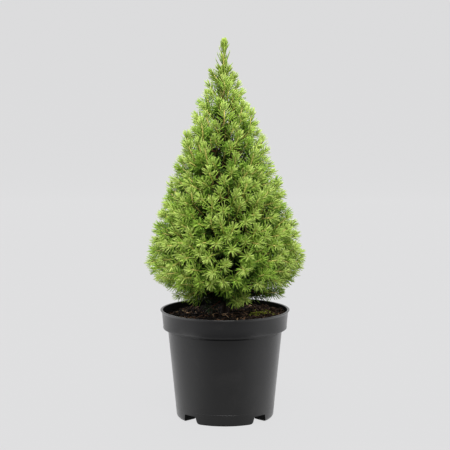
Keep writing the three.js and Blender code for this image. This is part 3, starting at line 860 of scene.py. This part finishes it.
SIDE_GAP, EDGE_GAP, TRUNK_GAP = 0.0006, 0.0009, 0.0015
SHOOT_NEEDLE, EDGE_ROOM, SHORTEST_TWIG, CHOICES = 0.016, 0.006, 0.004, 10
FIRST_JOINT, FIRST_TRUNK_JOINT, LAST_JOINT, MIDDLE_JOINT, STEM_JOINTS = 0.12, 0.3, 0.97, 0.9, 9
WHORL_DRAWS = 10             # numbers that the solids draw for the needles of one shoot


def random_from(seed):
    """Seeded random numbers from 0 to 1, the same on every run"""
    state = seed

    def draw():
        nonlocal state
        state = (state * 1664525 + 1013904223) & 0xFFFFFFFF
        return state / 2 ** 32
    return draw


def in_space(space, spot):
    """Whether a place is inside a mass's own space, clear of its edges and of the trunk"""
    out = hypot(spot.x, spot.y)
    turn = atan2(spot.y, spot.x) - space.azimuth
    inside = space.half - abs(atan2(sin(turn), cos(turn)))
    if inside <= 0 or out * sin(min(inside, pi / 2)) < SIDE_GAP:
        return False
    if not edge_height(space.low, out) + EDGE_GAP <= spot.z <= edge_height(space.high, out) - EDGE_GAP:
        return False
    return (spot - trunk_centre(spot.z)).length > trunk_radius(spot.z) + TRUNK_GAP


def line_in_space(space, start, end, steps=5):
    return all(in_space(space, start.lerp(end, i / steps)) for i in range(1, steps + 1))


UNDERSIDE_RISE = 0.016       # the underside of the crown arches up towards the trunk
UNDERSIDE_LOW = {0: 0.183, 1: 0.204}    # the least height of a tip in the two lowest tiers
SKIRT_SPREAD = 0.15          # the lowest shoots hang in separate clusters


def random_tip(space, draw, share, size, finer):
    """A shoot somewhere in a mass; the finer ones also fill the seams between masses"""
    arch = UNDERSIDE_RISE * (1 - share) if space.tier == 1 else 0
    edge_room = SEAM_ROOM if finer else EDGE_ROOM
    low = UNDERSIDE_LOW[space.tier] if finer and space.tier in UNDERSIDE_LOW else space.low + edge_room
    height = mix(low + arch, space.high - edge_room, draw())
    side_room = SEAM_ROOM if finer else 0.6 * SHOOT_NEEDLE
    room = max(0.1, space.half - side_room / crown_radius(height))
    if space.tier == 0:
        room *= SKIRT_SPREAD
    azimuth = space.azimuth + room * (2 * draw() - 1)
    stray, rise = (FINE_STRAY, FINE_RISE) if finer else (STRAY, 0)
    return shoot_to(azimuth, height, draw, share, size, stray, rise)


def farthest(tries, others):
    """Of several shoots, the one whose middle is farthest from the middles of the others"""
    middles, taken = (np.array([one.tip - REACH_BACK * one.length * one.direction for one in shoots])
                      for shoots in (tries, others))
    gaps = np.linalg.norm(middles[:, None] - taken[None], axis=2).min(1)
    return tries[int(gaps.argmax())]


def best_joint(limbs, shoot):
    """The joint on the limbs grown so far that a twig reaches with the least length and bending"""
    starts = np.array([limb[i - 1] for limb in limbs for i in range(1, len(limb))])
    ends = np.array([limb[i] for limb in limbs for i in range(1, len(limb))])
    run = np.array(shoot.heel) - ends
    distance = np.linalg.norm(run, axis=1)
    step = ends - starts
    along = (run * step).sum(1) / (distance * np.linalg.norm(step, axis=1) + 1e-12)
    onward = run @ np.array(shoot.direction) / (distance + 1e-12)
    cost = np.where(distance < SHORTEST_TWIG, np.inf, distance * (3 - along - onward))
    return Vector(ends[int(cost.argmin())])


def points_along(start, end, steps):
    return [start.lerp(end, i / steps) for i in range(steps + 1)]


# The finer shoots come in layers: the portion of them, how far out, their size, and how dark they are,
# the inner ones darkened by painted shade
FINE_STRAY, FINE_RISE, SEAM_ROOM = 18, 26, 0.001
FINE_CHOICES, REACH_BACK = 16, 0.4
Layer = namedtuple("Layer", "portion least most size shade")
LAYERS = [
    Layer(1.0, 0.91, 1.035, 1.15, 0),
    Layer(0.3, 0.76, 0.88, 1.1, 1),
    Layer(0.36, 0.52, 0.74, 1.1, 2),
    Layer(0.34, 0.26, 0.50, 1.1, 3),
]
Grown = namedtuple("Grown", "joint shoot shade")
Mass = namedtuple("Mass", "space path share draw limbs grown")


def grow_mass(space):
    """The stem's path, and the shoots that the solids have too with the joints that they leave from"""
    path, middle = bough_path(space)
    share = BOUGH_SHARE if space.tier < BOUGH_TIERS else 0
    draw = random_from(1000 * space.tier + floor(1000 * space.azimuth + 0.5))
    first = FIRST_JOINT if share else FIRST_TRUNK_JOINT
    stem = [along_path(path, mix(share, 1, mix(first, LAST_JOINT, i / (STEM_JOINTS - 1))))
            for i in range(STEM_JOINTS)]
    mass = Mass(space, path, share, draw, [stem], [])
    grow(mass, along_path(path, mix(share, 1, MIDDLE_JOINT)), middle, 0)
    for _ in range(WHORL_DRAWS):
        draw()
    tries = 0
    while len(mass.grown) < space.shoots and tries < 4 * space.shoots:
        tries += 1
        others = [one.shoot for one in mass.grown]
        shoots = [random_tip(space, draw, 1.0, 1.0, False) for _ in range(CHOICES)]
        shoot = max(shoots, key=lambda one: min((other.tip - one.tip).length for other in others))
        joint = best_joint(mass.limbs, shoot)
        if line_in_space(space, joint, shoot.heel) and line_in_space(space, shoot.heel, shoot.tip):
            grow(mass, joint, shoot, 0)
            for _ in range(WHORL_DRAWS):
                draw()
    return mass


def shoot_between(heel, tip):
    return Shoot(tip, (tip - heel).normalized(), (tip - heel).length, heel)


def straight_shoot(heel, azimuth, slope, length):
    direction = pointing(azimuth, slope)
    return Shoot(heel + length * direction, direction, length, heel)


def grow(mass, joint, shoot, shade):
    """Adds a shoot and its twig to a mass. A tip that hangs too low under the crown is lifted"""
    lift = UNDERSIDE_LOW.get(mass.space.tier, 0) - shoot.tip.z
    if lift > 0:
        shoot = shoot_between(shoot.heel, shoot.tip + Vector((0, 0, lift)))
    mass.limbs.append(points_along(joint, shoot.heel, 3))
    mass.grown.append(Grown(joint, shoot, shade))


crown = [grow_mass(space) for space in spaces]
for layer in LAYERS:
    same_layer = [one.shoot for mass in crown for one in mass.grown if one.shade == layer.shade]
    for mass in crown:
        count = mass.space.inner if layer.shade else mass.space.outer
        for _ in range(round(layer.portion * count)):
            reach = mix(layer.least, layer.most, mass.draw())
            size = layer.size * mix(0.75, 1.1, mass.draw())
            shoots = [random_tip(mass.space, mass.draw, reach, size, True)
                      for _ in range(FINE_CHOICES)]
            shoot = farthest(shoots, same_layer) if same_layer else shoots[0]
            same_layer.append(shoot)
            grow(mass, best_joint(mass.limbs, shoot), shoot, layer.shade)

# Short old shoots crowd round the foot of the trunk, in the dark under the crown; their needles take
# the darkest painted shade
FOOT_SHOOTS, FOOT_SHOOT_LOW, FOOT_SHOOT_HIGH = 30, 0.171, 0.196
draw = random_from(FOOT_SHOOTS)
for i in range(FOOT_SHOOTS):
    joint = trunk_centre(mix(FOOT_SHOOT_LOW, FOOT_SHOOT_HIGH, draw()))
    azimuth, slope = radians(TIER_TURN * i), radians(mix(-35, 20, draw()))
    heel = joint + mix(0.005, 0.014, draw()) * pointing(azimuth, slope)
    shoot = straight_shoot(heel, azimuth, slope, mix(0.018, 0.026, draw()))
    crown[i % TIERS[0].masses].grown.append(Grown(joint, shoot, 3))

# ---- Twigs ----
# Last year's wood, red-brown, from the stems out to the heel of each shoot, and this year's shoots,
# whose skin is still smooth and straw-coloured.

TWIG_SIDES = 4
OLD_TWIG_RADIUS, NEW_TWIG_RADIUS = 0.0011, 0.0011
TWIG_BEND = 0.08
TIP_NEEDLES = 0.009          # how far the needles reach past the end of the stem


def frames_of(directions, steep):
    """Two directions across each given one, told whether it runs steeply up or down"""
    reference = np.where(steep, [[1.0, 0.0, 0.0]], [[0.0, 0.0, 1.0]])
    side = np.cross(reference, directions)
    side /= np.linalg.norm(side, axis=1, keepdims=True)
    return side, np.cross(directions, side)


def tube(points, radii, sides=TWIG_SIDES):
    """A closed tapering twig along a few points, as corners and faces"""
    points = np.asarray([list(p) for p in points], float)
    ahead = np.gradient(points, axis=0)
    ahead /= np.linalg.norm(ahead, axis=1, keepdims=True)
    run = points[-1] - points[0]
    side, front = frames_of(ahead, abs(run[2]) > 0.8 * np.linalg.norm(run))
    angles = (np.arange(sides) * 2 * pi / sides)[None, :, None]
    ring = np.cos(angles) * side[:, None] + np.sin(angles) * front[:, None]
    corners = (points[:, None] + np.asarray(radii)[:, None, None] * ring).reshape(-1, 3)
    faces = []
    for step in range(len(points) - 1):
        for i in range(sides):
            j = (i + 1) % sides
            a, b = step * sides + i, step * sides + j
            c, d = a + sides, b + sides
            faces += [(a, b, d), (a, d, c)]
    last = (len(points) - 1) * sides
    for i in range(1, sides - 1):
        faces += [(0, i + 1, i), (last, last + i, last + i + 1)]
    return corners, np.array(faces)


def joined(parts):
    """Several (corners, faces) as one"""
    corners, faces, count = [], [], 0
    for some_corners, some_faces in parts:
        corners.append(some_corners)
        faces.append(some_faces + count)
        count += len(some_corners)
    return np.concatenate(corners), np.concatenate(faces)


def stem_of(shoot, radii):
    return tube(points_along(shoot.heel, shoot.tip - TIP_NEEDLES * shoot.direction, 2), radii)


old_wood, last_wood, new_wood = [], [], []
heel_radius = 1.1 * NEW_TWIG_RADIUS
for space, path, share, _, _, grown in crown:
    shares = [mix(share, 1, i / 10) for i in range(11)]
    old_wood.append(tube([along_path(path, s) for s in shares], [limb_radius(s) for s in shares], 6))
    for joint, shoot, shade in grown:
        bend = joint.lerp(shoot.heel, 0.5) - TWIG_BEND * (shoot.heel - joint).length * shoot.direction
        twig = tube([joint, joint.lerp(bend, 0.8), bend.lerp(shoot.heel, 0.6), shoot.heel],
                    [OLD_TWIG_RADIUS, OLD_TWIG_RADIUS, heel_radius, heel_radius])
        (old_wood if shade else last_wood).append(twig)
        stem = stem_of(shoot, [taper * NEW_TWIG_RADIUS for taper in (1, 0.8, 0.4)])
        # The stems of the inmost shoots are old red-brown wood: they are older, and the dark wood is
        # also painted shade
        (old_wood if shade > 1 else new_wood).append(stem)
for name, parts, tone, roughness in (
        ("old", old_wood, paint(98, 60, 39), 0.75),
        ("last", last_wood, paint(116, 104, 52), 0.65),
        ("new", new_wood, paint(204, 190, 104), 0.55)):
    twig_skin = new_material(f"{name}_twig", Base_Color=tone, Roughness=roughness)[0]
    corners, faces = joined(parts)
    twigs = mesh_piece(f"twigs_{name}", corners, faces, [twig_skin], np.zeros(len(faces)))
    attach(twigs, "root")

# ---- Needles ----
# Slender four-angled needles all round each shoot: they stand well out at its heel and close up
# round the tip. New growth is bright yellow-green, what grows in the shade is deep green, and painted
# shade makes the inner sprays darker still.

NEEDLES_PER_METRE = 1950
NEEDLE_LENGTH, NEEDLE_WIDTH = 0.0148, 0.00115
HEEL_LEAN, TIP_LEAN = 72, 28
TOP_CLOSING = 22             # needles hug the shoot more closely towards the top of the plant
TIP_CROWDING = 1.5           # above 1, needles stand closer together towards the tip
GOLDEN_TURN = 2.39996
NEEDLE_CORNERS = 8
NEEDLE_FACES = np.array([
    (0, 2, 1), (0, 3, 2), (0, 1, 3), (1, 2, 5), (1, 5, 4), (2, 3, 6),
    (2, 6, 5), (3, 1, 4), (3, 4, 6), (7, 4, 5), (7, 5, 6), (7, 6, 4)])
TURN_STRAY, LEAN_STRAY, SIZE_STRAY = 0.25, 6, 0.09
TIP_SHORTER, NEEDLE_BEND = 0.3, 0.05
TIP_SHARE = 0.62             # the outer part of a shoot is a shade paler
DARK_SHARE = 0.22            # and some needles all over are a shade deeper
SHADE_TONES = (5.9, 3.3, 1.7, 0.8)    # the usual green, from the outer sprays to the inmost, deepened inwards by painted shade
LOW_PAINTED_SHADE, LOW_ZONE = 0.5, 0.08      # painted shade: the lowest sprays are painted deeper
HIGH_PAINTED_LIGHT, HIGH_ZONE = 0.42, 0.15    # and painted light: the highest are painted paler


def needles_on(shoot, length=NEEDLE_LENGTH, density=NEEDLES_PER_METRE, start=0.04,
               heel_lean=HEEL_LEAN, breadth=NEEDLE_WIDTH):
    """The corners of all needles on a shoot (foot, three near it, three near the tip, tip), and how
    much paler or deeper each is"""
    stem = shoot.length - TIP_NEEDLES
    count = max(8, round(density * stem))
    even = (np.arange(count) + chance.uniform(0.2, 0.8, count)) / count
    along = start + (1 - start) * (1 - (1 - even) ** TIP_CROWDING)
    turn = GOLDEN_TURN * np.arange(count) + chance.uniform(0, 2 * pi)
    turn += chance.normal(0, TURN_STRAY, count)
    closing = TOP_CLOSING * max(0, (shoot.tip.z - CROWN_WIDEST) / (CROWN_TOP - CROWN_WIDEST))
    lean = mix(heel_lean - closing, TIP_LEAN - closing, along ** 3)
    lean = np.radians(lean + chance.normal(0, LEAN_STRAY, count))
    axis = np.array(shoot.direction)
    side, front = (v[0] for v in frames_of(axis[None], abs(axis[2]) > 0.8))
    radial = np.cos(turn)[:, None] * side + np.sin(turn)[:, None] * front
    outward = np.sin(lean)[:, None] * radial + np.cos(lean)[:, None] * axis
    sizes = length * (1 - TIP_SHORTER * along ** 3) * chance.normal(1, SIZE_STRAY, count)
    foot = np.array(shoot.heel) + (along * stem)[:, None] * axis + 0.0003 * radial
    bend = (NEEDLE_BEND * sizes)[:, None] * radial
    lower = foot + (0.2 * sizes)[:, None] * outward + 0.6 * bend
    upper = foot + (0.8 * sizes)[:, None] * outward + (0.03 * sizes)[:, None] * axis
    tip = foot + sizes[:, None] * outward - bend + (0.06 * sizes)[:, None] * axis
    across, over = frames_of(outward, np.abs(outward[:, 2:3]) > 0.8)
    corners = [foot]
    for middle, width in ((lower, breadth), (upper, 0.85 * breadth)):
        for i in range(3):
            angle = 2 * pi * i / 3
            corners.append(middle + width / 2 * (cos(angle) * across + sin(angle) * over))
    deeper = chance.random(count) < DARK_SHARE
    return np.stack([*corners, tip], 1), (along > TIP_SHARE).astype(int) - deeper


GREENS = [
    paint(9, 15, 5), paint(20, 33, 9), paint(38, 59, 17), paint(64, 94, 28), paint(93, 128, 39),
    paint(121, 157, 52), paint(150, 180, 70), paint(174, 195, 98), paint(194, 208, 128),
]


def needle_skins(name, colours):
    return [new_material(
        f"{name}_green_{i + 1}", Base_Color=green, Roughness=0.55, Specular_IOR_Level=0.25)[0]
        for i, green in enumerate(colours)]


leaf_greens = needle_skins("needle", GREENS)


def spray_tone(shade, height):
    """Which green a spray has: outer ones bright, inner ones deep with painted shade; the lowest are
    painted deeper with shade and the highest paler with light
    """
    usual = SHADE_TONES[shade] - LOW_PAINTED_SHADE * max(0, 1 - (height - CROWN_BOTTOM) / LOW_ZONE)
    usual += HIGH_PAINTED_LIGHT * min(1, max(0, (height - CROWN_WIDEST) / HIGH_ZONE - 0.4))
    return int(np.clip(round(chance.normal(usual, 0.5)), 1, len(GREENS) - 3))


def needle_piece(name, sprays):
    """One joined piece of needles from ((corners, paler), tone) of each spray"""
    needles = np.concatenate([corners for (corners, _), _ in sprays])
    tones = np.concatenate([tone + paler for (_, paler), tone in sprays])
    first = NEEDLE_CORNERS * np.arange(len(needles))
    faces = (NEEDLE_FACES + first[:, None, None]).reshape(-1, 3)
    tones = np.repeat(tones, len(NEEDLE_FACES))
    return mesh_piece(name, needles.reshape(-1, 3), faces, leaf_greens, tones)


for tier, (tier_name, *_) in enumerate(TIERS):
    sprays, nodes = [], []
    for mass in crown:
        if mass.space.tier == tier:
            sprays += [(needles_on(one.shoot), spray_tone(one.shade, one.shoot.tip.z))
                       for one in mass.grown]
            nodes.append(f"needles_{mass.space.name}")
    piece = needle_piece(f"sprays_{tier_name}", sprays)
    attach(piece, "root")
    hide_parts(*nodes)

# ---- The leader ----
# This year's top shoot: a bare straw-coloured stretch with a few stray needles, then a dense tuft,
# with small side shoots round its foot.

HEAD_SHOOTS = 5              # the top shoot and the buds that crowd round its tip
HEAD_LENGTH, HEAD_SPREAD = 0.024, 0.0024
LEADER_FOOT_RADIUS, LEADER_TIP_RADIUS, LEADER_SHORT = 0.0019, 0.0009, 0.006
HUGGERS = [(180, 0.515, 0.022), (0, 0.508, 0.022), (75, 0.505, 0.020), (265, 0.500, 0.021)]
SIDE_SHOOTS, SIDE_STEP = 8, 0.0036
SHOULDERS = [(183, 0.486, 50, 0.034), (-4, 0.480, 51, 0.033)]    # turn, foot, slope and length
# How the needles stand on the bare stretch, in the tuft and on the shoots that hug it
BARE_NEEDLES = {"length": 0.022, "density": 700, "start": 0.05, "heel_lean": 62, "breadth": 0.0015}
TUFT_NEEDLES = {"length": 0.011, "density": 2600, "start": 0, "heel_lean": 44, "breadth": 0.0012}
HUGGER_NEEDLES = {"length": 0.009, "density": 2600, "start": 0.2, "heel_lean": 44, "breadth": 0.0011}
# The greens of young needles are yellower than the rest
YOUNG_GREENS = [paint(98, 122, 42), paint(126, 150, 55), paint(151, 172, 74)]
YOUNG = len(GREENS) + 1

leaf_greens += needle_skins("young", YOUNG_GREENS)
leader_foot, leader_tip = trunk_centre(TRUNK_TIP), trunk_centre(CROWN_TOP)
rise = (leader_tip - leader_foot).normalized()
bare = Shoot(leader_tip, rise, CROWN_TOP - TRUNK_TIP - HEAD_LENGTH / 2, leader_foot)
sprays = [(needles_on(bare, **BARE_NEEDLES), YOUNG)]
twig_parts = [tube(points_along(leader_foot, leader_tip - LEADER_SHORT * rise, 4),
                   np.linspace(LEADER_FOOT_RADIUS, LEADER_TIP_RADIUS, 5), 6)]
for i in range(HEAD_SHOOTS):
    turn = 2 * pi * i / HEAD_SHOOTS
    aside = HEAD_SPREAD * Vector((cos(turn), sin(turn), 0))
    head = shoot_between(leader_tip - HEAD_LENGTH * rise + 0.3 * aside, leader_tip + aside)
    sprays.append((needles_on(head, **TUFT_NEEDLES), YOUNG))
for azimuth, height, length in HUGGERS:
    hugger = straight_shoot(trunk_centre(height), radians(azimuth), radians(80), length)
    sprays.append((needles_on(hugger, **HUGGER_NEEDLES), YOUNG))
side_shoots = []
for i in range(SIDE_SHOOTS):
    down = i / (SIDE_SHOOTS - 1)
    side_shoots.append((TIER_TURN * i + 60, TRUNK_TIP + 0.004 - SIDE_STEP * i, mix(68, 52, down),
                        mix(0.024, 0.036, down), 0.012))
side_shoots += [(*shoulder, 0.0125) for shoulder in SHOULDERS]
for azimuth, height, slope, length, needle in side_shoots:
    side = straight_shoot(trunk_centre(height), radians(azimuth), radians(slope), length)
    sprays.append((needles_on(side, needle), YOUNG))
    twig_parts.append(stem_of(side, [0.0009, 0.0007, 0.0004]))
leader_needles = needle_piece("sprays_leader", sprays)
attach(leader_needles, "root")
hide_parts("needles_leader")
corners, faces = joined(twig_parts)
leader_twig = mesh_piece("twig_leader", corners, faces, [twig_skin], np.zeros(len(faces)))
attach(leader_twig, "root")

# ---- The studio ----
# A pale sheet that glows softly, laid on the floor and curved up behind the pot, with a wide soft
# light on each side and a small one above.

CAMERA_PLACE = (0, -2.2, 0.5535)
CAMERA_PITCH, LENS = 6.976, 121.27
STUDIO_GREY = paint(222, 222, 223)
SHEET_GREY = paint(14, 14, 14)
SHEET_FILL = 0.68            # how much of its glow the sheet gives the plant as soft light
FRONT_SHINE, SIDE_SHINE = 0.82, 1.6     # and how much the pot mirrors of it, in front and at the sides
SKY_GLOW = 0.16              # the room beyond the sheet gives little light
CONTACT_SHADOW = (0.036, 0.047, 0.03, 0.972)    # painted contact shadow: the sheet's glow fades out between two radii under the pot
LIGHT_AIM = (0, 0, 0.3)
FLOOR_SIZE, WALL_TOP = 24, 9.0
FLOOR_BACK, SWEEP_RADIUS, SWEEP_STEPS = 3.0, 2.0, 24    # where it turns up, and how softly

sweep = added("plane", size=1)
sweep.name = "studio_sweep"
edit()
resize((0, 0, 0), FLOOR_SIZE, FLOOR_SIZE, 1)
bpy.ops.transform.translate(value=(0, FLOOR_BACK - FLOOR_SIZE / 2, 0))
pick(sweep, "EDGE", lambda edge: all(end.y > FLOOR_BACK - 0.001 for end in ends_of(sweep, edge)))
for i in range(SWEEP_STEPS):
    start, end = [radians(90 * (i + step) / SWEEP_STEPS) for step in (0, 1)]
    extrude(0, SWEEP_RADIUS * (sin(end) - sin(start)), SWEEP_RADIUS * (cos(start) - cos(end)))
extrude(0, 0, WALL_TOP - SWEEP_RADIUS)
edit(False)
only(sweep)
bpy.ops.object.shade_smooth()
studio, tree, shader = new_material("studio_grey", Roughness=0.9, Specular_IOR_Level=0.1,
                                    Emission_Color=STUDIO_GREY)
where = place(tree, "ShaderNodeTexCoord").outputs["Object"]
paler = [1.05 * value for value in SHEET_GREY[:3]] + [1]
uneven = mixed(tree, filmed(tree, where, 0.6, 0.3, 0.9), SHEET_GREY, paler)
tree.links.new(uneven, shader.inputs["Base Color"])
out = place(tree, "ShaderNodeVectorMath", {0: where}, operation="LENGTH").outputs["Value"]
ray = place(tree, "ShaderNodeLightPath").outputs
# Painted contact shadow: the glow fades out under the pot
glow = worked_out(tree, "MULTIPLY", ranged(tree, out, *CONTACT_SHADOW),
                  ranged(tree, ray["Is Diffuse Ray"], 0, 1, 1, SHEET_FILL))
behind = worked_out(tree, "DIVIDE", axis_of(tree, where, "Y"), out)
strips = ranged(tree, behind, -0.95, -0.45, FRONT_SHINE - 1, SIDE_SHINE - 1)
shine = worked_out(tree, "MULTIPLY_ADD", ray["Is Glossy Ray"], strips, 1.0)
tree.links.new(worked_out(tree, "MULTIPLY", glow, shine), shader.inputs["Emission Strength"])
studio.cycles.emission_sampling = "NONE"
sweep.data.materials.append(studio)

world = bpy.data.worlds.new("studio")
bpy.context.scene.world = world
world.use_nodes = True
backdrop = world.node_tree.nodes["Background"]
backdrop.inputs["Color"].default_value = paint(221, 221, 222)
ray = place(world.node_tree, "ShaderNodeLightPath").outputs
seen = ranged(world.node_tree, ray["Is Camera Ray"], 0, 1, SKY_GLOW, 1.0)
world.node_tree.links.new(seen, backdrop.inputs["Strength"])


def soft_light(name, spot, size, power):
    light = bpy.data.lights.new(name, "AREA")
    light.shape = "RECTANGLE"
    light.size, light.size_y = size
    light.energy = power
    lamp = in_scene(name, light)
    lamp.location = spot
    lamp.rotation_euler = (Vector(LIGHT_AIM) - Vector(spot)).to_track_quat("-Z", "Y").to_euler()


soft_light("light_left", (-1.4, -0.2, 0.9), (1.8, 1.4), 23)
soft_light("light_right", (1.4, -0.2, 0.9), (1.8, 1.4), 19.6)
soft_light("light_top", (0, -0.9, 1.9), (0.7, 0.7), 60)

camera_data = bpy.data.cameras.new("camera")
camera_data.lens = LENS
camera = in_scene("camera", camera_data)
camera.location = CAMERA_PLACE
camera.rotation_euler = (radians(90 - CAMERA_PITCH), 0, 0)
bpy.context.scene.camera = camera
bpy.context.scene.view_settings.view_transform = "Standard"
